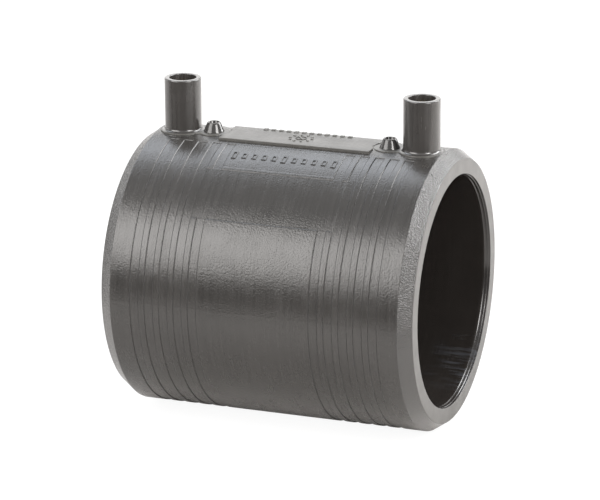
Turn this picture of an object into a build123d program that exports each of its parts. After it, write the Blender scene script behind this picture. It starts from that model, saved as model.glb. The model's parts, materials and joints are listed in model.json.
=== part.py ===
from build123d import *
import os

# Electrofusion coupler for 90 mm polyethylene pipe. Millimetres. X runs along the bore, Z points up through
# the terminals, and the origin is on the surface that the sleeve lies on, under the middle of its length.

# Sleeve
socket_bore = 91.0          # takes a 90 mm pipe
wall = 10.0
length = 127.4
chamfer_run = 5.0           # end chamfer, along the sleeve
chamfer_drop = 3.5          # end chamfer, towards the axis
lead_in_run = 2.4
lead_in_rise = 0.5

# Ring that halves the bore, for each pipe end to butt against
stop_length = 2.5
stop_height = 2.0

# Ring grooves over each fusion zone
zone_inset = 27.0           # from the end of the sleeve to the middle of a zone
groove_count = 5
groove_pitch = 6.0
groove_width = 3.6
groove_depth = 0.3
groove_start = 11.8         # degrees from the top

# Panels on the front, in degrees from the top
text_panel_end = 27.8
text_panel_depth = 0.1
label_panel_start = 29.2
label_panel_end = 53.2
label_panel_depth = 0.16

# Raised strip and the pads at its ends
strip_width = 18.3
strip_rise = 0.35           # above the crown of the sleeve
strip_gap = 0.4             # between the strip's hollow end and the cone's pad
strip_end_gap = 5.5         # between the strip's corners and the middle of the cone, along the sleeve
pad_rise = 0.1
cone_pad_diameter = 12.8
neck_width = 10.4
terminal_pad_diameter = 18.4
tier_margin = 0.9           # how far the lower tier shows round the pads
tier_drop = 0.5             # below the crown of the sleeve

# Terminal shrouds
terminal_inset = 14.0       # from the end of the sleeve to the middle of a terminal
shroud_diameter = 14.5
shroud_bore = 10.6
shroud_height = 21.0        # above the crown of the sleeve
shroud_depth = 12.5
shroud_root = 1.1           # flare at the foot
shroud_rim = 0.4            # bevel at the top

# Indicator cones
cone_base_diameter = 8.2
cone_top_diameter = 5.2
cone_height = 3.7           # above the pad
cone_rim = 0.25
cone_ring_width = 0.5
cone_ring_depth = 0.25

# Heating windings and the wire between them
skin = 0.7                  # polyethylene between the bore and a winding
winding_thickness = 1.2
winding_overrun = 1.3       # past the middle of a terminal
wire_diameter = 0.9

# Contact pins
pin_diameter = 4.0
pin_below_rim = 3.2
pin_tip = 0.5
collar_diameter = 6.4
collar_length = 2.0
neck_diameter = 3.4
collar_cover = 1.5          # length of the neck, and polyethylene over the collar
tail_diameter = 2.4

# Indicator pins
indicator_diameter = 3.8
indicator_clearance = 0.15
indicator_below_rim = 1.5
well_floor = 0.8            # polyethylene between a well and the winding

bore_radius = socket_bore / 2
sleeve_radius = bore_radius + wall
face_radius = sleeve_radius - chamfer_drop
half = length / 2
terminal_x = half - terminal_inset
zone_middle = half - zone_inset
zone_start = zone_middle - (groove_pitch * (groove_count - 1) + groove_width) / 2
pad_top = sleeve_radius + pad_rise
winding_inner = bore_radius + skin
winding_outer = winding_inner + winding_thickness
winding_end = terminal_x + winding_overrun
shroud_top = sleeve_radius + shroud_height
cone_top = pad_top + cone_height
root_depth = wall / 3       # how deep the raised forms are rooted in the wall
overshoot = 1.0             # how far a cut runs on past the surface
ends = {"left": -1, "right": 1}


def ring(x_low, x_high, r_low, r_high, start=0.0, sweep=360.0):
    """A ring about the bore's axis, or the part of one from start to start + sweep degrees off the top."""
    middle = Pos((x_low + x_high) / 2, (r_low + r_high) / 2)
    section = Plane.XZ * middle * Rectangle(x_high - x_low, r_high - r_low)
    return Rot(X=start) * revolve(section, Axis.X, sweep)


def turned(x, outline):
    """A solid turned about the upright line at x. The outline is drawn in radius and height."""
    return Pos(X=x) * revolve(Plane.XZ * make_face(outline), Axis.Z)


def groove_middles():
    first = zone_middle - groove_pitch * (groove_count - 1) / 2
    return [first + groove_pitch * number for number in range(groove_count)]


def sleeve():
    outside = Plane.XZ * Polygon(
        (-half, 0),
        (-half, face_radius),
        (-half + chamfer_run, sleeve_radius),
        (half - chamfer_run, sleeve_radius),
        (half, face_radius),
        (half, 0),
        align=None,
    )
    return revolve(outside, Axis.X)


def bore():
    mouth_radius = bore_radius + lead_in_rise
    outline = Plane.XZ * Polygon(
        (-half - overshoot, 0),
        (-half - overshoot, mouth_radius),
        (-half, mouth_radius),
        (-half + lead_in_run, bore_radius),
        (half - lead_in_run, bore_radius),
        (half, mouth_radius),
        (half + overshoot, mouth_radius),
        (half + overshoot, 0),
        align=None,
    )
    return revolve(outline, Axis.X)


def stop():
    return ring(-stop_length / 2, stop_length / 2, bore_radius - stop_height, bore_radius + skin / 2)


def grooves():
    """The ring grooves. The innermost one stops at the label panel and starts again below it."""
    label_edge = groove_middles()[1] - groove_width / 2
    panel = ring(-label_edge, label_edge, bore_radius, sleeve_radius + overshoot, label_panel_start,
                 label_panel_end - label_panel_start)
    floor, sweep = sleeve_radius - groove_depth, 360 - 2 * groove_start
    cuts = []
    for side in ends.values():
        for middle in groove_middles():
            low, high = side * middle - groove_width / 2, side * middle + groove_width / 2
            cut = ring(low, high, floor, sleeve_radius + overshoot, groove_start, sweep)
            cuts.append(cut - panel if middle == groove_middles()[0] else cut)
    return cuts


def panels():
    text_edge = groove_middles()[0] - groove_width / 2
    label_edge = groove_middles()[1] - groove_width / 2
    text = ring(-text_edge, text_edge, sleeve_radius - text_panel_depth, sleeve_radius + overshoot,
                groove_start, text_panel_end - groove_start)
    label = ring(-label_edge, label_edge, sleeve_radius - label_panel_depth, sleeve_radius + overshoot,
                 label_panel_start, label_panel_end - label_panel_start)
    return [text, label]


def strip():
    """The long flat on the crown, hollowed at each end round the cone's pad."""
    flat = Rectangle(2 * (zone_middle - strip_end_gap), strip_width)
    for side in ends.values():
        flat -= Pos(X=side * zone_middle) * Circle(cone_pad_diameter / 2 + strip_gap)
    rooted = root_depth + strip_rise
    return extrude(Pos(Z=sleeve_radius + strip_rise - rooted) * flat, rooted)


def pad(side, margin, rise):
    """One tier of the pad under a cone and a shroud, with its flat top at rise above the crown."""
    cone_x, shroud_x = side * zone_middle, side * terminal_x
    outline = Pos(X=cone_x) * Circle(cone_pad_diameter / 2 + margin)
    outline += Pos(X=(cone_x + shroud_x) / 2) * Rectangle(abs(shroud_x - cone_x), neck_width + 2 * margin)
    outline += Pos(X=shroud_x) * Circle(terminal_pad_diameter / 2 + margin)
    rooted = root_depth + rise
    return extrude(Pos(Z=sleeve_radius + rise - rooted) * outline, rooted)


def shroud(x):
    outer = shroud_diameter / 2
    foot = outer + shroud_root
    bottom = sleeve_radius - root_depth
    outline = Polyline((0, bottom), (foot, bottom), (foot, pad_top), (outer, pad_top + shroud_root),
                       (outer, shroud_top - shroud_rim), (outer - shroud_rim, shroud_top),
                       (0, shroud_top), (0, bottom))
    return turned(x, outline)


def shroud_hollow(x):
    inner, rim, floor = shroud_bore / 2, shroud_rim / 2, shroud_top - shroud_depth
    outline = Polyline((0, floor), (inner, floor), (inner, shroud_top - rim), (inner + rim, shroud_top),
                       (inner + rim, shroud_top + overshoot), (0, shroud_top + overshoot), (0, floor))
    return turned(x, outline)


def cone(x):
    base, top = cone_base_diameter / 2, cone_top_diameter / 2
    bottom = sleeve_radius - root_depth
    lean = (base - top) / cone_height
    outline = Polyline((0, bottom), (base, bottom), (base, pad_top),
                       (top + lean * cone_rim, cone_top - cone_rim), (top - cone_rim, cone_top),
                       (0, cone_top), (0, bottom))
    return turned(x, outline)


def cone_ring(x):
    inner, outer = cone_base_diameter / 2, cone_base_diameter / 2 + cone_ring_width
    outline = Polyline((inner, pad_top), (inner, pad_top - cone_ring_depth),
                       (outer, pad_top), (inner, pad_top))
    return turned(x, outline)


def well(x):
    floor = winding_outer + well_floor
    height = cone_top + overshoot - floor
    return Pos(x, 0, floor + height / 2) * Cylinder(indicator_diameter / 2 + indicator_clearance, height)


def indicator_pin(x):
    floor = winding_outer + well_floor
    height = cone_top - indicator_below_rim - floor
    return Pos(x, 0, floor + height / 2) * Cylinder(indicator_diameter / 2, height)


def winding(side):
    """The outer shape of one closely wound coil of the heating wire."""
    low, high = sorted((side * zone_start, side * winding_end))
    return ring(low, high, winding_inner, winding_outer)


def bridge_wire():
    middle = (winding_inner + winding_outer) / 2
    return Pos(Z=middle) * Rot(Y=90) * Cylinder(wire_diameter / 2, 2 * zone_start)


def terminal_pin(x, coil):
    """Contact pin with a collar that holds it in the plastic and a tail that ends on the winding."""
    contact, neck, collar, tail = pin_diameter / 2, neck_diameter / 2, collar_diameter / 2, tail_diameter / 2
    top = shroud_top - pin_below_rim
    floor = shroud_top - shroud_depth
    collar_top = floor - collar_cover
    collar_bottom = collar_top - collar_length
    bottom = (winding_inner + winding_outer) / 2
    outline = Polyline((0, bottom), (tail, bottom), (tail, collar_bottom), (collar, collar_bottom),
                       (collar, collar_top), (neck, collar_top), (neck, floor), (contact, floor),
                       (contact, top - pin_tip), (contact - pin_tip, top), (0, top), (0, bottom))
    return turned(x, outline) - coil


windings = {end: winding(side) for end, side in ends.items()}
pins = {end: terminal_pin(side * terminal_x, windings[end]) for end, side in ends.items()}
bridge = bridge_wire()

body = sleeve()
body -= grooves()
body -= panels()
body += strip()
for side in ends.values():
    body += [pad(side, tier_margin, -tier_drop), pad(side, 0, pad_rise)]
    body += [shroud(side * terminal_x), cone(side * zone_middle)]
    body -= [shroud_hollow(side * terminal_x), cone_ring(side * zone_middle), well(side * zone_middle)]
body -= bore()
body += stop()
for end in ends:
    body -= [windings[end], pins[end]]
body -= bridge

pieces = {"coupler_body": body, "bridge_wire": bridge}
for end, side in ends.items():
    pieces["winding_" + end] = windings[end]
    pieces["terminal_pin_" + end] = pins[end]
    pieces["indicator_pin_" + end] = indicator_pin(side * zone_middle)

os.makedirs("parts", exist_ok=True)
for name, piece in pieces.items():
    export_step(Pos(Z=sleeve_radius) * piece, "parts/" + name + ".step")
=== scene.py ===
import bpy
import json
import math
import numpy as np
from mathutils import Matrix, Vector


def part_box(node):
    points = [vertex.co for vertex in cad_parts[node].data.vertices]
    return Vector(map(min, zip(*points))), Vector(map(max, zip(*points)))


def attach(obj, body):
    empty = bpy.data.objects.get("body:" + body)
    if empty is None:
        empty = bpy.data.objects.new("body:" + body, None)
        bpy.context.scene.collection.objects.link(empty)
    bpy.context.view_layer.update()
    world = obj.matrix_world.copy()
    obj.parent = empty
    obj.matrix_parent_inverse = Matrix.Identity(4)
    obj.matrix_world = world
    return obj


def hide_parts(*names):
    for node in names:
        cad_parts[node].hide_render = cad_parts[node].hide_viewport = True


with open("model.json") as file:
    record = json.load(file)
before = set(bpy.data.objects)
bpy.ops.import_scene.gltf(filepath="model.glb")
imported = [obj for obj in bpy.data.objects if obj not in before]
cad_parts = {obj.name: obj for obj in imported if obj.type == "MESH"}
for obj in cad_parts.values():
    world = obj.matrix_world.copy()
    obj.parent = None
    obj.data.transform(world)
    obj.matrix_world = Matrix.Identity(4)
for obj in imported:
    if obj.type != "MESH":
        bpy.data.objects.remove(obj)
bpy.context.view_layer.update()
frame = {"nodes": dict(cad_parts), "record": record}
print("frame loaded")

low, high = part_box("coupler_body")
mounts = {mount["name"]: mount for mount in frame["record"]["mounts"]}
radius = round((high.y - low.y) / 2 * 1.00025, 5)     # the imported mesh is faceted, so its box is a hair small
axisHeight = low.z + radius
halfLength = high.x
boreRadius = mounts["pipe_socket_right"]["dims"]["r_mm"] / 1000
terminalX = mounts["terminal_right"]["pos_m"][0]
shroudTop = high.z
crown = axisHeight + radius

# What a user would change on the sleeve: metres, and degrees from the top
sleeveLook = {
    "zoneInset": .027, "grooveCount": 5, "groovePitch": .006, "grooveWidth": .0036, "grooveDepth": .0003,
    "grooveStart": 11.8, "textEnd": 27.8, "textDepth": .0001, "labelStart": 29.2, "labelEnd": 53.2,
    "labelDepth": .0002, "chamferRun": .005, "chamferDrop": .0035, "leadInRun": .0024, "leadInRise": .0005,
    "edge": .00014, "panelEdge": .0002, "around": 240, "partingHeight": .00001, "partingWidth": .3,
    "creviceReach": .00013, "creviceDrop": .00013, "stationStep": .0026,
    "stopHalf": .00125, "stopHeight": .002,
    # place along the bore, degrees from the top, radius and height
    "gate": (-.0072, 108.6, .0011, .00022), "blister": (-.0405, 78, .0016, .00012),
    # distance in from the end, and drop from the mouth towards the bore: two short lands with small shoulders
    "mouthSteps": ((.00012, 0), (.0008, 0), (.00086, .00003), (.00098, .00022), (.00104, .00024),
                   (.0020, .00027), (.00206, .0003)),
}
zoneMiddle = halfLength - sleeveLook["zoneInset"]


def newMaterial(name):
    material = bpy.data.materials.new(name)
    material.use_nodes = True
    return material, material.node_tree.nodes, material.node_tree.links


def finishPiece(obj, nodes):
    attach(obj, "root")
    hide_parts(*nodes)
    return obj


def linked(obj):
    bpy.context.scene.collection.objects.link(obj)
    return obj


def filled(sockets, values):
    for name, value in values.items():
        sockets[name].default_value = value


def maths(tree, operation, *values):
    node = tree.nodes.new("ShaderNodeMath")
    node.operation = operation
    for socket, value in zip(node.inputs, values):
        if isinstance(value, (int, float)):
            socket.default_value = value
        else:
            tree.links.new(value, socket)
    return node.outputs[0]


def ramped(tree, value, **limits):
    # limits by the node's own input names, with spaces left out: FromMin, FromMax, ToMin, ToMax
    node = tree.nodes.new("ShaderNodeMapRange")
    tree.links.new(value, node.inputs["Value"])
    filled(node.inputs, {name.replace("M", " M"): limit for name, limit in limits.items()})
    return node.outputs["Result"]


def meshPiece(name, points, faces, materials, sharp, faceMaterials=None):
    mesh = bpy.data.meshes.new(name)
    mesh.from_pydata([tuple(p) for p in points], [], faces)
    for material in materials:
        mesh.materials.append(material)
    if faceMaterials is not None:
        mesh.polygons.foreach_set("material_index", faceMaterials)
    mesh.polygons.foreach_set("use_smooth", [True] * len(mesh.polygons))
    mesh.update()
    mesh.set_sharp_from_angle(angle=math.radians(sharp))
    return linked(bpy.data.objects.new(name, mesh))


# Grooves, panels and the parting line as one relief over the sleeve
def softStep(value, edge, width):
    t = np.clip((value - edge) / (2 * width) + .5, 0, 1)
    return t * t * (3 - 2 * t)


def between(value, start, end, width):
    return softStep(value, start, width) * (1 - softStep(value, end, width))


def grooveMiddles():
    first = zoneMiddle - sleeveLook["groovePitch"] * (sleeveLook["grooveCount"] - 1) / 2
    return [first + sleeveLook["groovePitch"] * n for n in range(sleeveLook["grooveCount"])]


def withEdges(start, end, step, edges, width):
    # even stations, with a tight set of lines at each edge
    even = np.linspace(start, end, int(round((end - start) / step)) + 1)
    tight = np.array([edge + width * share for edge in edges for share in (-2, -1, -.6, -.2, .2, .6, 1, 2)])
    clear = [v for v in even if np.abs(tight - v).min(initial=9) > width * 1.5]
    return np.array(sorted([*clear, *tight]))


def relief(x, angle):
    look, soft, panelSoft = sleeveLook, sleeveLook["edge"], sleeveLook["panelEdge"]
    softAngle, panelAngle = (math.degrees(width / radius) for width in (soft, panelSoft))
    away, front = np.abs(angle), -angle     # the front is at negative Y
    middles = grooveMiddles()
    textEdge = middles[0] - look["grooveWidth"] / 2
    labelEdge = middles[1] - look["grooveWidth"] / 2
    label = between(front, look["labelStart"], look["labelEnd"], panelAngle)
    grooves = np.zeros_like(x)
    for number, middle in enumerate(middles):
        band = between(np.abs(x), middle - look["grooveWidth"] / 2, middle + look["grooveWidth"] / 2, soft)
        grooves = np.maximum(grooves, band * (1 - label) if number == 0 else band)
    grooves = grooves * softStep(away, look["grooveStart"], softAngle)
    text = between(np.abs(x), -1, textEdge, panelSoft)
    text = text * between(front, look["grooveStart"], look["textEnd"], panelAngle)
    labelArea = between(np.abs(x), -1, labelEdge, panelSoft) * label
    parting = np.exp(-((away - 90) / look["partingWidth"]) ** 2)
    marks = np.zeros_like(x)
    for place, turn, size, height in (look["gate"], look["blister"]):
        reach = np.hypot(x - place, np.radians(front - turn) * radius) / size
        marks = marks + height * (1 - softStep(reach, .8, .25))
    return (-look["grooveDepth"] * grooves - look["textDepth"] * text * (1 - grooves)
            - look["labelDepth"] * labelArea * (1 - grooves) + look["partingHeight"] * parting + marks)


def creviceShadeAndGrime(x, angle):
    # 1 at the foot of each step in the relief, where grime stays and less light gets in; the colour is darkened
    # there with painted shade as well as grime
    reach = sleeveLook["creviceReach"]
    turn = math.degrees(reach / radius)
    rise = (relief(x + reach, angle) + relief(x - reach, angle) + relief(x, angle + turn)
            + relief(x, angle - turn) - 4 * relief(x, angle))
    return np.clip(rise / sleeveLook["creviceDrop"], 0, 1)


def sleeveStations():
    # along the outside from left to right, then back along the bore: (x, radius, kind)
    look = sleeveLook
    edges = [side * (middle + s * look["grooveWidth"] / 2)
             for side in (-1, 1) for middle in grooveMiddles() for s in (-1, 1)]
    corner = halfLength - look["chamferRun"]
    face, mouth = radius - look["chamferDrop"], boreRadius + look["leadInRise"]
    outside = withEdges(-corner + .0004, corner - .0004, look["stationStep"], edges, look["edge"])
    slope = look["chamferDrop"] / look["chamferRun"]
    # from the chamfer's foot to the mouth on the right; the left end mirrors it
    end = [(corner - .00012, radius, 0), (corner + .0001, radius - .00005, 1)]
    end += [(corner + d, radius - d * slope, 1) for d in np.linspace(.0003, look["chamferRun"] - .0003, 9)]
    end += [(halfLength - .0001, face + .00012, 1), (halfLength, face - .00015, 2)]
    end += [(halfLength, r, 2) for r in np.linspace(face - .0006, mouth + .0006, 4)]
    end += [(halfLength, mouth + .0003, 2), (halfLength, mouth + .0001, 2),
            (halfLength - .00006, mouth + .00003, 3)]
    end += [(halfLength - back, mouth - drop, 3) for back, drop in look["mouthSteps"]]
    end += [(halfLength - look["leadInRun"] + .0001, boreRadius + .00003, 3),
            (halfLength - look["leadInRun"], boreRadius, 3)]
    bore = [(x, boreRadius, 3) for x in np.linspace(halfLength - .004, look["stopHalf"] + .00005, 14)]
    stop = [(look["stopHalf"], r, 3) for r in (boreRadius, boreRadius - look["stopHeight"])]

    def mirrored(rows):
        return [(-x, r, kind) for x, r, kind in reversed(rows)]

    right = end + bore + stop
    return [(x, radius, 0) for x in outside] + right + mirrored(right)


def buildSleeve(materials):
    look = sleeveLook
    softAngle = math.degrees(look["edge"] / radius)
    edges = [look["grooveStart"]] + [-look[k] for k in ("grooveStart", "textEnd", "labelStart", "labelEnd")]
    angles = withEdges(-180, 180 - 360 / look["around"], 360 / look["around"], edges, softAngle)
    angles = np.array(sorted([a for a in angles if abs(abs(a) - 90) > .4]
                             + [side * (90 + d) for side in (-1, 1) for d in (-.35, -.17, 0, .17, .35)]))
    rows = sleeveStations()
    x = np.array([r[0] for r in rows])[:, None] + 0 * angles[None, :]
    base = np.array([r[1] for r in rows])[:, None] + 0 * x
    outside = np.array([r[2] == 0 for r in rows])[:, None]
    a = angles[None, :] + 0 * x
    r = base + np.where(outside, relief(x, a), 0)
    turn = np.radians(a)
    points = np.stack([x, r * np.sin(turn), axisHeight + r * np.cos(turn)], -1).reshape(-1, 3)
    count, across = len(rows), len(angles)
    faces, kinds = [], []
    for i in range(count):
        j = (i + 1) % count
        kind = max(rows[i][2], rows[j][2]) if {rows[i][2], rows[j][2]} != {0, 3} else 3
        for k in range(across):
            m = (k + 1) % across
            faces.append((i * across + k, i * across + m, j * across + m, j * across + k))
            kinds.append(kind)
    piece = meshPiece("sleeve", points, faces, materials, 50, kinds)
    # painted shade and grime: this mask darkens the colour at the foot of each relief step
    grimeAndShade = piece.data.attributes.new("creviceShadeAndGrime", "FLOAT", "POINT")
    grimeAndShade.data.foreach_set("value", (creviceShadeAndGrime(x, a) * outside).ravel())
    return piece


# Solids turned about an upright line: shrouds and cones
def turnedPiece(name, x, profile, material, around=96):
    # the profile runs from the buried foot's middle, up the outside, and down the hollow to its middle
    points, faces, rings = [], [], []
    for r, z in profile:
        if r < 1e-7:
            rings.append([len(points)])
            points.append((x, 0, z))
            continue
        rings.append(list(range(len(points), len(points) + around)))
        points += [(x + r * math.cos(t), r * math.sin(t), z)
                   for t in (2 * math.pi * k / around for k in range(around))]
    for lower, upper in zip(rings, rings[1:]):
        for k in range(around):
            m = (k + 1) % around
            if len(lower) == 1:
                faces.append((lower[0], upper[m], upper[k]))
            elif len(upper) == 1:
                faces.append((lower[k], lower[m], upper[0]))
            else:
                faces.append((lower[k], lower[m], upper[m], upper[k]))
    return meshPiece(name, points, faces, [material], 40)


shroudLook = {"radius": .00725, "bore": .0053, "depth": .0125, "root": .0011, "rim": .00045, "lip": .0003}


def shroudProfile():
    look = shroudLook
    outer, foot, root = look["radius"], look["radius"] + look["root"], look["root"]
    rim, lip, inner, floor = look["rim"], look["lip"], look["bore"], shroudTop - look["depth"]
    turns = [math.radians(t) for t in (0, 18, 36, 54, 72, 90)]
    flare = [(foot - root * math.sin(t), padTop + root * (1 - math.cos(t))) for t in turns]
    top = [(outer - rim + rim * math.cos(t), shroudTop - rim + rim * math.sin(t)) for t in turns]
    mouth = [(inner + lip * (1 - math.sin(t)), shroudTop - lip * (1 - math.cos(t))) for t in turns]
    return ([(0, padTop - .002), (foot, padTop - .002)] + flare + top + mouth
            + [(inner, floor + .0004), (inner - .0004, floor), (0, floor)])


coneLook = {"base": .0041, "top": .0026, "height": .0037, "rim": .00035, "well": .00205, "wellDepth": .0095}


def coneProfile():
    look = coneLook
    top, rim = padTop + look["height"], look["rim"]
    lean = (look["base"] - look["top"]) / look["height"]
    return ([(0, padTop - .002), (look["base"], padTop - .002), (look["base"], padTop + .0001)]
            + [(look["base"] - lean * h, padTop + h) for h in np.linspace(.0004, look["height"] - rim, 5)]
            + [(look["top"] - rim * .1, top - rim * .35), (look["top"] - rim * .4, top)]
            + [(look["well"] + .00012, top), (look["well"], top - .00015)]
            + [(look["well"], top - look["wellDepth"]), (0, top - look["wellDepth"])])


# Raised pads and the strip between them
padLook = {"padRise": .0001, "tierDrop": .0005, "tierMargin": .0009, "conePad": .0064, "neck": .0052,
           "terminalPad": .0092, "stripRise": .00035, "stripWidth": .0183, "stripGap": .0004,
           "stripEnd": .0055, "edge": .00022}
padTop = crown + padLook["padRise"]


def padOutline(side, grow, steps=40):
    # round pad under the cone, neck, and round pad under the shroud
    cone, shroud = padLook["conePad"] + grow, padLook["terminalPad"] + grow
    neck = padLook["neck"] + grow
    near, far = math.asin(neck / cone), math.asin(neck / shroud)
    outline = []
    for k in range(steps + 1):
        t = near + (2 * math.pi - 2 * near) * k / steps
        outline.append((side * (zoneMiddle + cone * math.cos(t)), side * cone * math.sin(t)))
    for k in range(steps + 1):
        t = math.pi + far + (2 * math.pi - 2 * far) * k / steps
        outline.append((side * (terminalX + shroud * math.cos(t)), side * shroud * math.sin(t)))
    return outline


def stripOutline(grow, steps=14):
    width, end = padLook["stripWidth"] / 2 + grow, zoneMiddle - padLook["stripEnd"] + grow
    bite = padLook["conePad"] + padLook["stripGap"] - grow
    half = math.acos((zoneMiddle - end) / bite)
    outline = []
    for side in (1, -1):
        arc = [(side * (zoneMiddle - bite * math.cos(t)), side * bite * math.sin(t))
               for t in (-half + 2 * half * k / steps for k in range(steps + 1))]
        outline += [(side * end, side * -width), *arc, (side * end, side * width)]
    return outline


def raisedPiece(name, outlineAt, top, material, depth=.003):
    edge = padLook["edge"]
    levels = [(0, top - depth), (0, top - edge), (-edge * .12, top - edge * .5),
              (-edge * .45, top - edge * .12), (-edge, top)]
    points, faces, rings = [], [], []
    for grow, z in levels:
        outline = outlineAt(grow)
        rings.append(list(range(len(points), len(points) + len(outline))))
        points += [(x, y, z) for x, y in outline]
    count = len(rings[0])
    for lower, upper in zip(rings, rings[1:]):
        faces += [(lower[k], lower[(k + 1) % count], upper[(k + 1) % count], upper[k])
                  for k in range(count)]
    faces += [tuple(rings[-1]), tuple(reversed(rings[0]))]
    return meshPiece(name, points, faces, [material], 30)


# Materials
def plasticMaterial(name, colour, roughness, peel, grain, wave=.00008, streak=.0, specular=.5):
    # peel and grain are each a scale and a height
    material, nodes, links = newMaterial(name)
    shader = nodes["Principled BSDF"]
    shader.inputs["Specular IOR Level"].default_value = specular
    place = nodes.new("ShaderNodeTexCoord")
    surface = nodes.new("ShaderNodeGroup")
    surface.node_tree = mouldedGroup()
    filled(surface.inputs, {"Colour": (*colour, 1), "Roughness": roughness, "Peel scale": peel[0],
                            "Peel height": peel[1], "Grain scale": grain[0], "Grain height": grain[1],
                            "Wave height": wave, "Streak height": streak})
    links.new(place.outputs["Object"], surface.inputs["Place"])
    # painted shade and grime: the crevice mask read here darkens the base colour
    grimeAndShade = nodes.new("ShaderNodeAttribute")
    grimeAndShade.attribute_name = "creviceShadeAndGrime"
    links.new(grimeAndShade.outputs["Fac"], surface.inputs["Crevice shade and grime"])
    links.new(surface.outputs["Colour"], shader.inputs["Base Color"])
    links.new(surface.outputs["Roughness"], shader.inputs["Roughness"])
    links.new(surface.outputs["Normal"], shader.inputs["Normal"])
    return material


def groupSockets(group, given, returned):
    for name, kind in given:
        group.interface.new_socket(name, in_out="INPUT", socket_type="NodeSocket" + kind)
    for name, kind in returned:
        group.interface.new_socket(name, in_out="OUTPUT", socket_type="NodeSocket" + kind)


# How much of each effect the moulded surface gets; the crevice darkening is painted shade and grime
mouldedLook = {"streakStretch": (900, 26, 26), "driftScale": 38, "drift": .5, "streakTint": .5,
               "creviceShadeDark": -.8, "patchScale": 130, "patchGloss": .22, "streakGloss": .14,
               "creviceGloss": .3, "waveScale": 75}


def mouldedGroup():
    # colour drift, patchy gloss, shrinkage waves, orange peel, tool streaks, fine grain, and crevices darkened
    # with painted shade and grime
    if "mouldedSurface" in bpy.data.node_groups:
        return bpy.data.node_groups["mouldedSurface"]
    look = mouldedLook
    group = bpy.data.node_groups.new("mouldedSurface", "ShaderNodeTree")
    groupSockets(group, (("Place", "Vector"), ("Colour", "Color"), ("Roughness", "Float"),
                         ("Peel scale", "Float"), ("Peel height", "Float"), ("Grain scale", "Float"),
                         ("Grain height", "Float"), ("Wave height", "Float"), ("Streak height", "Float"),
                         ("Crevice shade and grime", "Float")),
                 (("Colour", "Color"), ("Roughness", "Float"), ("Normal", "Vector")))
    nodes, links = group.nodes, group.links
    given, out = nodes.new("NodeGroupInput"), nodes.new("NodeGroupOutput")

    def noise(scale, detail, place=None):
        node = nodes.new("ShaderNodeTexNoise")
        node.inputs["Detail"].default_value = detail
        links.new(place or given.outputs["Place"], node.inputs["Vector"])
        if isinstance(scale, (int, float)):
            node.inputs["Scale"].default_value = scale
        else:
            links.new(scale, node.inputs["Scale"])
        return node.outputs["Fac"]

    def centred(value, share, middle):
        return maths(group, "MULTIPLY_ADD", maths(group, "SUBTRACT", value, .5), share, middle)

    def bump(height, distance, normal=None):
        node = nodes.new("ShaderNodeBump")
        node.inputs["Strength"].default_value = 1
        links.new(distance, node.inputs["Distance"])
        links.new(height, node.inputs["Height"])
        if normal:
            links.new(normal, node.inputs["Normal"])
        return node.outputs["Normal"]

    # streaks run round the bore: fine along X, long across it
    stretch = nodes.new("ShaderNodeVectorMath")
    stretch.operation = "MULTIPLY"
    stretch.inputs[1].default_value = look["streakStretch"]
    links.new(given.outputs["Place"], stretch.inputs[0])
    streaks = noise(1, 2, stretch.outputs[0])

    drift = centred(noise(look["driftScale"], 4), look["drift"], 1)
    drift = centred(streaks, look["streakTint"], drift)
    # painted shade and grime: the colour is darkened where the crevice mask is high
    creviceShadeFactor = maths(group, "MULTIPLY_ADD", given.outputs["Crevice shade and grime"], look["creviceShadeDark"], 1)
    tint = nodes.new("ShaderNodeVectorMath")
    tint.operation = "SCALE"
    links.new(given.outputs["Colour"], tint.inputs[0])
    links.new(maths(group, "MULTIPLY", drift, creviceShadeFactor), tint.inputs["Scale"])
    links.new(tint.outputs[0], out.inputs["Colour"])

    gloss = centred(noise(look["patchScale"], 5), look["patchGloss"], given.outputs["Roughness"])
    gloss = centred(streaks, look["streakGloss"], gloss)
    gloss = maths(group, "MULTIPLY_ADD", given.outputs["Crevice shade and grime"], look["creviceGloss"], gloss)
    links.new(gloss, out.inputs["Roughness"])

    normal = bump(noise(look["waveScale"], 2), given.outputs["Wave height"])
    normal = bump(noise(given.outputs["Peel scale"], 2), given.outputs["Peel height"], normal)
    normal = bump(streaks, given.outputs["Streak height"], normal)
    normal = bump(noise(given.outputs["Grain scale"], 3), given.outputs["Grain height"], normal)
    links.new(normal, out.inputs["Normal"])
    return group


# The chamfer's eroded stipple is strong above the parting line and faint below it
stippleLook = {"low": .0001, "high": .00052, "fade": .012}


def fadeStipple(material):
    look, tree = stippleLook, material.node_tree
    place, split = (tree.nodes.new("ShaderNode" + kind) for kind in ("TexCoord", "SeparateXYZ"))
    tree.links.new(place.outputs["Object"], split.inputs[0])
    height = ramped(tree, split.outputs["Z"], FromMin=axisHeight - look["fade"],
                    FromMax=axisHeight + look["fade"], ToMin=look["low"], ToMax=look["high"])
    group = next(node for node in tree.nodes if node.type == "GROUP")
    tree.links.new(height, group.inputs["Peel height"])


# The wire lies just under the bore's skin, and shows as a faint ripple over each winding
rippleLook = {"pitch": .0014, "height": .000014, "zoneHalf": .0142, "fade": .0012}


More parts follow.
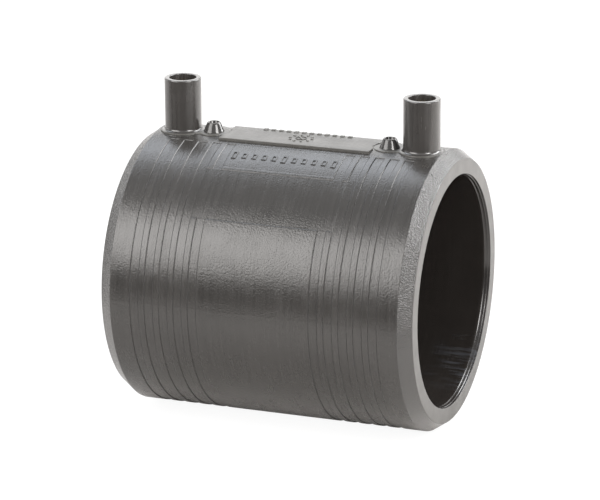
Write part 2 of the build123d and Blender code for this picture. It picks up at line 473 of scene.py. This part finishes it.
def rippleBore(material):
    look, tree = rippleLook, material.node_tree
    nodes, links = tree.nodes, tree.links
    shader, place = nodes["Principled BSDF"], nodes.new("ShaderNodeTexCoord")
    split = nodes.new("ShaderNodeSeparateXYZ")
    links.new(place.outputs["Object"], split.inputs[0])
    along = split.outputs["X"]
    wave = maths(tree, "SINE", maths(tree, "MULTIPLY", along, 2 * math.pi / look["pitch"]))
    offset = maths(tree, "ABSOLUTE", maths(tree, "SUBTRACT", maths(tree, "ABSOLUTE", along), zoneMiddle))
    fade = ramped(tree, offset, FromMin=look["zoneHalf"], FromMax=look["zoneHalf"] - look["fade"])
    bump = nodes.new("ShaderNodeBump")
    bump.inputs["Distance"].default_value = look["height"]
    links.new(maths(tree, "MULTIPLY", wave, fade), bump.inputs["Height"])
    links.new(shader.inputs["Normal"].links[0].from_socket, bump.inputs["Normal"])
    links.new(bump.outputs[0], shader.inputs["Normal"])


# A painted highlight: a faint bluish lift of drawn-out streaks in the colour low inside the right mouth, where
# the bore catches light; turn is in degrees from the top
boreHighlightLook = {"stretch": (70, 620, 620), "turn": 149, "reach": .02, "noise": (.46, .74), "side": (.93, .995),
            "colour": (.03, .034, .041)}


def paintBoreHighlight(material):
    look, tree = boreHighlightLook, material.node_tree
    nodes, links = tree.nodes, tree.links
    shader, place = nodes["Principled BSDF"], nodes.new("ShaderNodeTexCoord")
    split, stretch, noise, paintedHighlight = (nodes.new("ShaderNode" + kind) for kind in (
        "SeparateXYZ", "VectorMath", "TexNoise", "VectorMath"))
    stretch.operation, paintedHighlight.operation = "MULTIPLY", "MULTIPLY_ADD"
    for target in (split, stretch):
        links.new(place.outputs["Object"], target.inputs[0])
    stretch.inputs[1].default_value = look["stretch"]
    links.new(stretch.outputs[0], noise.inputs["Vector"])
    filled(noise.inputs, {"Scale": 1, "Detail": 4})
    turn = math.radians(look["turn"])
    low = maths(tree, "MULTIPLY_ADD", split.outputs["Z"], math.cos(turn), -axisHeight * math.cos(turn))
    toward = maths(tree, "MULTIPLY_ADD", split.outputs["Y"], math.sin(turn), low)
    near, far = (share * boreRadius for share in look["side"])
    side = ramped(tree, toward, FromMin=near, FromMax=far)
    depth = ramped(tree, split.outputs["X"], FromMin=halfLength - look["reach"],
                   FromMax=halfLength - look["reach"] / 3)
    streaks = ramped(tree, noise.outputs[0], FromMin=look["noise"][0], FromMax=look["noise"][1])
    # painted highlight: the streaks lift the bore's colour towards pale blue
    paintedHighlight.inputs[0].default_value = look["colour"]
    links.new(maths(tree, "MULTIPLY", maths(tree, "MULTIPLY", side, depth), streaks), paintedHighlight.inputs[1])
    links.new(shader.inputs["Base Color"].links[0].from_socket, paintedHighlight.inputs[2])
    links.new(paintedHighlight.outputs[0], shader.inputs["Base Color"])


def metalMaterial(name, colour, roughness):
    material, nodes, links = newMaterial(name)
    shader = nodes["Principled BSDF"]
    shader.inputs["Metallic"].default_value = 1
    place, noise = nodes.new("ShaderNodeTexCoord"), nodes.new("ShaderNodeTexNoise")
    noise.inputs["Scale"].default_value = 900
    links.new(place.outputs["Object"], noise.inputs["Vector"])
    gloss = ramped(material.node_tree, noise.outputs["Fac"], ToMin=roughness - .08, ToMax=roughness + .12)
    links.new(gloss, shader.inputs["Roughness"])
    mix = nodes.new("ShaderNodeMix")
    mix.data_type = "RGBA"
    mix.inputs["A"].default_value = (*colour, 1)
    mix.inputs["B"].default_value = (*(c * .6 for c in colour), 1)
    links.new(noise.outputs["Fac"], mix.inputs["Factor"])
    links.new(mix.outputs["Result"], shader.inputs["Base Color"])
    return material


bodyPlastic = plasticMaterial("bodyPlastic", (.0212, .0198, .0184), .25, (1500, .00009), (3200, .000012),
                              streak=.00003)
chamferPlastic = plasticMaterial("chamferPlastic", (.019, .0177, .0166), .2, (1700, .0005), (2900, .00005),
                                 specular=.8)
facePlastic = plasticMaterial("facePlastic", (.047, .045, .0422), .4, (500, .00003), (2600, .00001),
                              streak=.00001)
borePlastic = plasticMaterial("borePlastic", (.0135, .0117, .0105), .21, (300, .00002), (2000, .000006),
                              wave=.00005, streak=.00002)
stripPlastic = plasticMaterial("stripPlastic", (.043, .041, .037), .42, (700, .0001), (2400, .00002))
shroudPlastic = plasticMaterial("shroudPlastic", (.023, .021, .0195), .23, (600, .00003), (2600, .000008),
                                specular=.7)
conePlastic = plasticMaterial("conePlastic", (.022, .021, .02), .14, (300, .00001), (2600, .000004),
                              wave=.00002)
wireCoat = plasticMaterial("wireCoat", (.05, .05, .05), .5, (500, .00002), (2600, .00001))
rippleBore(borePlastic)
# painted highlight in the bore's colour, low inside the right mouth
paintBoreHighlight(borePlastic)
fadeStipple(chamferPlastic)
contactMetal = metalMaterial("contactMetal", (.83, .66, .36), .3)
print("materials made")

sleeve = finishPiece(buildSleeve([bodyPlastic, chamferPlastic, facePlastic, borePlastic]),
                     ["coupler_body"])
print("sleeve built:", len(sleeve.data.polygons), "faces")

for end, side in (("Left", -1), ("Right", 1)):
    tier = raisedPiece("padTier" + end, lambda grow: padOutline(side, grow + padLook["tierMargin"]),
                       crown - padLook["tierDrop"], bodyPlastic)
    pad = raisedPiece("pad" + end, lambda grow: padOutline(side, grow), padTop, stripPlastic)
    shroud = turnedPiece("shroud" + end, side * terminalX, shroudProfile(), shroudPlastic)
    cone = turnedPiece("cone" + end, side * zoneMiddle, coneProfile(), conePlastic, around=64)
    for piece in (tier, pad, shroud, cone):
        finishPiece(piece, ["coupler_body"])
stripTop = crown + padLook["stripRise"]
finishPiece(raisedPiece("strip", stripOutline, stripTop, stripPlastic),
            ["coupler_body"])
print("pads, shrouds and cones built")

# Plain raised marks: frames along the text panel, bars along the strip's back edge, and a dial
markLook = {"turn": 19.8, "frameWidth": .0021, "frameLength": .0032, "frameHeight": .00032,
            "frameWall": .0006, "framePitch": .0041, "frameCount": 11, "frameLongEvery": 5,
            "edgeWidth": .0019, "edgeLength": .0015, "edgeHeight": .00039, "edgePitch": .0032,
            "edgeCount": 12, "edgeLongEvery": 4, "edgeY": .0078,
            "dialHeight": .0003, "dialRadius": .0053, "dialTicks": 10, "tickWidth": .0009,
            "tickLength": .0013, "hubRadius": .0023, "ringWidth": .0004, "pointerWidth": .0008,
            "pointerLength": .0036, "pointerTurn": 35}


def barMesh(name, width, length, height, sunk=.0003):
    # a bar with drafted sides, lying along Y with its foot sunk below its surface
    half, end, draft = width / 2, length / 2, height * .45
    foot = [(sx * half, sy * end, -sunk) for sx, sy in ((-1, -1), (1, -1), (1, 1), (-1, 1))]
    top = [(sx * (half - draft), sy * (end - draft), height)
           for sx, sy in ((-1, -1), (1, -1), (1, 1), (-1, 1))]
    sides = [(k, (k + 1) % 4, 4 + (k + 1) % 4, 4 + k) for k in range(4)]
    mesh = bpy.data.meshes.new(name)
    mesh.from_pydata(foot + top, [], [(3, 2, 1, 0), (4, 5, 6, 7), *sides])
    return bpy.data.objects.new(name, mesh)


def frameMesh(name, width, length, wall, height, sunk=.0003):
    # a raised rectangular frame with drafted sides
    draft = height * .4
    loops = [(0, -sunk), (draft, height), (wall - draft, height), (wall, -sunk)]
    points = [(sx * (width / 2 - inset), sy * (length / 2 - inset), z) for inset, z in loops
              for sx, sy in ((-1, -1), (1, -1), (1, 1), (-1, 1))]
    faces = [(i * 4 + k, i * 4 + (k + 1) % 4, j * 4 + (k + 1) % 4, j * 4 + k)
             for i, j in ((0, 1), (1, 2), (2, 3), (3, 0)) for k in range(4)]
    mesh = bpy.data.meshes.new(name)
    mesh.from_pydata(points, [], faces)
    return bpy.data.objects.new(name, mesh)


def ringMesh(name, outer, width, height, sunk=.0003, around=72):
    # a raised ring about Z, with drafted sides
    draft = height * .45
    inner = outer - width
    section = [(outer, -sunk), (outer - draft, height), (inner + draft, height), (inner, -sunk)]
    points = [(r * math.cos(t), r * math.sin(t), z) for r, z in section
              for t in (2 * math.pi * k / around for k in range(around))]
    faces = [(i * around + k, i * around + (k + 1) % around,
              j * around + (k + 1) % around, j * around + k)
             for i, j in ((0, 1), (1, 2), (2, 3), (3, 0)) for k in range(around)]
    mesh = bpy.data.meshes.new(name)
    mesh.from_pydata(points, [], faces)
    return bpy.data.objects.new(name, mesh)


def newTree(name, given):
    tree = bpy.data.node_groups.new(name, "GeometryNodeTree")
    tree.interface.new_socket("Geometry", in_out="OUTPUT", socket_type="NodeSocketGeometry")
    sockets = {}
    for label, kind in given:
        socket = tree.interface.new_socket(label, in_out="INPUT", socket_type="NodeSocket" + kind)
        sockets[label] = socket.identifier
    given, out = tree.nodes.new("NodeGroupInput"), tree.nodes.new("NodeGroupOutput")
    return tree, sockets, given.outputs, out.inputs


def joined(tree, kind, values):
    # a node whose inputs are filled from sockets or plain values
    node = tree.nodes.new(kind)
    for socket, value in values.items():
        if isinstance(value, bpy.types.NodeSocket):
            tree.links.new(value, node.inputs[socket])
        else:
            node.inputs[socket].default_value = value
    return node


def endTree(tree, geometry, material, out):
    real = joined(tree, "GeometryNodeRealizeInstances", {"Geometry": geometry})
    coloured = joined(tree, "GeometryNodeSetMaterial", {"Geometry": real.outputs[0],
                                                        "Material": material})
    tree.links.new(coloured.outputs[0], out[0])


def rowTree():
    # marks in a row along X, one in every few longer, turned about the sleeve's axis at a radius
    tree, sockets, given, out = newTree("markRow", (
        ("Bar", "Object"), ("Count", "Int"), ("Pitch", "Float"), ("Radius", "Float"),
        ("Axis height", "Float"), ("Turn", "Float"), ("Shift", "Float"), ("Long every", "Int"),
        ("Material", "Material")))
    span = maths(tree, "MULTIPLY", maths(tree, "SUBTRACT", given["Count"], 1), given["Pitch"])
    start = joined(tree, "ShaderNodeCombineXYZ", {0: maths(tree, "MULTIPLY", span, -.5),
                                                  1: given["Shift"], 2: given["Radius"]})
    step = joined(tree, "ShaderNodeCombineXYZ", {0: given["Pitch"]})
    line = joined(tree, "GeometryNodeMeshLine", {"Count": given["Count"], "Offset": step.outputs[0],
                                                 "Start Location": start.outputs[0]})
    index = tree.nodes.new("GeometryNodeInputIndex")
    place = maths(tree, "MODULO", index.outputs[0], given["Long every"])
    stretch = maths(tree, "MULTIPLY_ADD", maths(tree, "LESS_THAN", place, .5), .45, 1)
    scale = joined(tree, "ShaderNodeCombineXYZ", {0: 1, 1: stretch, 2: 1})
    bar = joined(tree, "GeometryNodeObjectInfo", {"Object": given["Bar"]})
    bars = joined(tree, "GeometryNodeInstanceOnPoints", {
        "Points": line.outputs[0], "Instance": bar.outputs["Geometry"], "Scale": scale.outputs[0]})
    lift = joined(tree, "ShaderNodeCombineXYZ", {2: given["Axis height"]})
    turn = joined(tree, "ShaderNodeCombineXYZ", {0: given["Turn"]})
    placed = joined(tree, "GeometryNodeTransform", {
        "Geometry": bars.outputs[0], "Translation": lift.outputs[0], "Rotation": turn.outputs[0]})
    endTree(tree, placed.outputs[0], given["Material"], out)
    return tree, sockets


def dialTree():
    # ticks round a centre, each pointing at it
    tree, sockets, given, out = newTree("dialTicks", (
        ("Tick", "Object"), ("Count", "Int"), ("Radius", "Float"), ("Height", "Float"),
        ("Material", "Material")))
    circle = joined(tree, "GeometryNodeMeshCircle", {"Vertices": given["Count"], "Radius": given["Radius"]})
    index = tree.nodes.new("GeometryNodeInputIndex")
    share = maths(tree, "DIVIDE", index.outputs[0], given["Count"])
    angle = maths(tree, "MULTIPLY_ADD", share, 2 * math.pi, -math.pi / 2)
    turn = joined(tree, "ShaderNodeCombineXYZ", {2: angle})
    tick = joined(tree, "GeometryNodeObjectInfo", {"Object": given["Tick"]})
    ticks = joined(tree, "GeometryNodeInstanceOnPoints", {
        "Points": circle.outputs[0], "Rotation": turn.outputs[0], "Instance": tick.outputs["Geometry"]})
    lift = joined(tree, "ShaderNodeCombineXYZ", {2: given["Height"]})
    placed = joined(tree, "GeometryNodeTransform", {"Geometry": ticks.outputs[0],
                                                    "Translation": lift.outputs[0]})
    endTree(tree, placed.outputs[0], given["Material"], out)
    return tree, sockets


def grown(name, treeAndSockets, values):
    # runs a tree on an empty mesh and keeps the result as a plain mesh
    tree, sockets = treeAndSockets
    carrier = linked(bpy.data.objects.new(name + "Carrier", bpy.data.meshes.new(name + "Carrier")))
    modifier = carrier.modifiers.new("grow", "NODES")
    modifier.node_group = tree
    for label, value in values.items():
        modifier[sockets[label]] = value
    bpy.context.view_layer.update()
    evaluated = carrier.evaluated_get(bpy.context.evaluated_depsgraph_get())
    mesh = bpy.data.meshes.new_from_object(evaluated)
    carrier.modifiers.remove(modifier)
    bpy.data.objects.remove(carrier)
    return linked(bpy.data.objects.new(name, mesh))


def buildMarks():
    look, row = markLook, rowTree()
    frameBar = frameMesh("panelBar", look["frameWidth"], look["frameLength"], look["frameWall"],
                         look["frameHeight"])
    edgeBar = barMesh("edgeBar", look["edgeWidth"], look["edgeLength"], look["edgeHeight"])
    tick = barMesh("dialTick", look["tickWidth"], look["tickLength"], look["dialHeight"])
    panelMarks = grown("panelMarks", row, {
        "Bar": frameBar, "Count": look["frameCount"], "Pitch": look["framePitch"],
        "Radius": radius - sleeveLook["textDepth"], "Axis height": axisHeight,
        "Turn": math.radians(look["turn"]), "Shift": 0.0, "Long every": look["frameLongEvery"],
        "Material": bodyPlastic})
    edgeMarks = grown("edgeMarks", row, {
        "Bar": edgeBar, "Count": look["edgeCount"], "Pitch": look["edgePitch"],
        "Radius": stripTop - axisHeight, "Axis height": axisHeight, "Turn": 0.0,
        "Shift": look["edgeY"], "Long every": look["edgeLongEvery"], "Material": stripPlastic})
    ticks = grown("dialTicks", dialTree(), {
        "Tick": tick, "Count": look["dialTicks"], "Radius": look["dialRadius"] - look["tickLength"] * .6,
        "Height": stripTop, "Material": stripPlastic})
    hub = ringMesh("dialHub", look["hubRadius"], look["ringWidth"], look["dialHeight"])
    pointer = barMesh("dialPointer", look["pointerWidth"], look["pointerLength"], look["dialHeight"])
    pointer.data.transform(Matrix.Rotation(math.radians(look["pointerTurn"]), 4, "Z"))
    for piece in (hub, pointer):
        piece.data.transform(Matrix.Translation((0, 0, stripTop)))
        piece.data.materials.append(stripPlastic)
        linked(piece)
    return [panelMarks, edgeMarks, ticks, hub, pointer]


for piece in buildMarks():
    finishPiece(piece, ["coupler_body"])
print("raised marks and dial built")

for name, node in frame["nodes"].items():
    for start, material in (("terminal_pin", contactMetal), ("bridge_wire", contactMetal),
                            ("indicator_pin", borePlastic), ("winding", wireCoat)):
        if name.startswith(start):
            node.data.materials.clear()
            node.data.materials.append(material)


# Floor, light and camera
def quad(name, corners):
    mesh = bpy.data.meshes.new(name)
    mesh.from_pydata(corners, [], [(0, 1, 2, 3)])
    return linked(bpy.data.objects.new(name, mesh))


def flatCorners(left, right, near, far, height=.003):
    return [(left, near, height), (right, near, height), (right, far, height), (left, far, height)]


# Reflections see grey paper; the camera sees it lit white, with a breath of shadow
floorLook = {"half": 6, "paper": (.62, .6, .58, 1), "roughness": .9, "glow": .93, "shade": (.08, .08, .08, 1)}


def buildFloor():
    look, half = floorLook, floorLook["half"]
    floor = quad("floor", flatCorners(-half, half, -half, half, height=0))
    material, nodes, links = newMaterial("floorPaper")
    shader = nodes["Principled BSDF"]
    filled(shader.inputs, {"Base Color": look["paper"], "Roughness": look["roughness"]})
    seen, mix, both, glow, shade = (nodes.new("ShaderNode" + kind) for kind in (
        "LightPath", "MixShader", "AddShader", "Emission", "BsdfDiffuse"))
    glow.inputs["Strength"].default_value = look["glow"]
    shade.inputs["Color"].default_value = look["shade"]
    for start, end in ((glow.outputs[0], both.inputs[0]), (shade.outputs[0], both.inputs[1]),
                       (seen.outputs["Is Camera Ray"], mix.inputs[0]), (shader.outputs[0], mix.inputs[1]),
                       (both.outputs[0], mix.inputs[2]),
                       (mix.outputs[0], nodes["Material Output"].inputs["Surface"])):
        links.new(start, end)
    floor.data.materials.append(material)


def card(name, corners, brightness=0):
    # a flag that only reflections see: dark, or faintly lit
    obj = quad(name, corners)
    material, nodes, links = newMaterial(name)
    filled(nodes["Principled BSDF"].inputs, {
        "Base Color": (.02, .02, .02, 1), "Roughness": 1, "Emission Color": (1, .97, .95, 1),
        "Emission Strength": brightness})
    obj.data.materials.append(material)
    obj.visible_camera = obj.visible_shadow = obj.visible_diffuse = False


bodyMiddle = Vector((0, 0, axisHeight))


def softbox(name, azimuth, elevation, width, height, radiance, colour, distance=1.6):
    # azimuth and elevation as seen from the sleeve's middle, 0 in front and 90 to the right
    a, e = math.radians(azimuth), math.radians(elevation)
    direction = Vector((math.sin(a) * math.cos(e), -math.cos(a) * math.cos(e), math.sin(e)))
    light = bpy.data.lights.new(name, "AREA")
    light.shape = "RECTANGLE"
    light.size, light.size_y = width, height
    light.energy = radiance * math.pi * width * height
    light.color = colour
    lamp = bpy.data.objects.new(name, light)
    lamp.location = bodyMiddle + direction * distance
    lamp.rotation_mode = "QUATERNION"
    lamp.rotation_quaternion = (-direction).to_track_quat("-Z", "Y")
    lamp.visible_camera = False
    linked(lamp)


# Strength at the horizon and overhead, and the heights (as a sine) where each is reached
worldLook = {"low": .3, "high": .9, "lowAt": .05, "highAt": .7, "colour": (.97, .985, 1, 1)}


def studioWorld():
    # dim at the horizon, brighter overhead; the camera itself sees plain white
    look, world = worldLook, bpy.data.worlds.new("studio")
    world.use_nodes = True
    tree = world.node_tree
    nodes, links = tree.nodes, tree.links
    place, split, backdrop, seen, mix = (nodes.new("ShaderNode" + kind) for kind in (
        "TexCoord", "SeparateXYZ", "Background", "LightPath", "MixShader"))
    links.new(place.outputs["Generated"], split.inputs[0])
    strength = ramped(tree, split.outputs["Z"], FromMin=look["lowAt"], FromMax=look["highAt"],
                      ToMin=look["low"], ToMax=look["high"])
    room = nodes["Background"]
    room.inputs["Color"].default_value = look["colour"]
    backdrop.inputs["Color"].default_value = (1, 1, 1, 1)
    links.new(strength, room.inputs["Strength"])
    links.new(seen.outputs["Is Camera Ray"], mix.inputs["Fac"])
    links.new(room.outputs[0], mix.inputs[1])
    links.new(backdrop.outputs[0], mix.inputs[2])
    links.new(mix.outputs[0], nodes["World Output"].inputs["Surface"])
    bpy.context.scene.world = world


# azimuth, elevation, width, height, radiance and colour
lightLook = {
    "frontBox": (-36, 30, 1.2, 1.1, 7.7, (1, .975, .955)),
    "topBackBox": (-146, 53, 1.6, .7, 4.0, (.87, .92, 1)),
    "backBox": (-160, 19, 2.4, .8, 2.1, (1, .98, .96)),
    "rightBackBox": (134, 34, .7, 1.4, 14.0, (1, 1, 1)),
    "rightFrontBox": (60, 26, .7, .9, 16.0, (1, .98, .96)),
    "leftBox": (-94, 8, .8, .5, 2.5, (1, .98, .96)),
}

buildFloor()
studioWorld()
for name, values in lightLook.items():
    softbox(name, *values)
card("frontFlag", flatCorners(-3, 3, -3, -.25))
card("leftCard", flatCorners(-.9, -.2, -.33, .7, height=.006), 1.25)

cameraLook = {"azimuth": 20.571, "elevation": 17.676, "roll": -.3137, "distance": 23.62, "lens": 198.636,
              "pan": 0.03358, "tilt": 0.42435}


def buildCamera():
    look = cameraLook
    data = bpy.data.cameras.new("camera")
    data.sensor_width = 36
    data.lens = look["lens"]
    data.clip_start, data.clip_end = .05, 50
    camera = linked(bpy.data.objects.new("camera", data))
    azimuth, elevation, roll = (math.radians(look[k]) for k in ("azimuth", "elevation", "roll"))
    back = Vector((math.cos(elevation) * math.sin(azimuth), -math.cos(elevation) * math.cos(azimuth),
                   math.sin(elevation)))
    right = Vector((math.cos(azimuth), math.sin(azimuth), 0))
    up = right.cross(-back)
    right, up = (right * math.cos(roll) + up * math.sin(roll),
                 up * math.cos(roll) - right * math.sin(roll))
    # panned and tilted off the sleeve's middle
    pan, tilt = (math.radians(look[k]) for k in ("pan", "tilt"))
    ahead = -back * math.cos(pan) - right * math.sin(pan)
    right = right * math.cos(pan) - back * math.sin(pan)
    ahead, up = (ahead * math.cos(tilt) + up * math.sin(tilt),
                 up * math.cos(tilt) - ahead * math.sin(tilt))
    place = bodyMiddle + back * look["distance"] * radius
    camera.matrix_world = Matrix.Translation(place) @ Matrix((right, up, -ahead)).transposed().to_4x4()
    bpy.context.scene.camera = camera


buildCamera()
bpy.context.scene.view_settings.view_transform = "Standard"
print("floor, light and camera set")
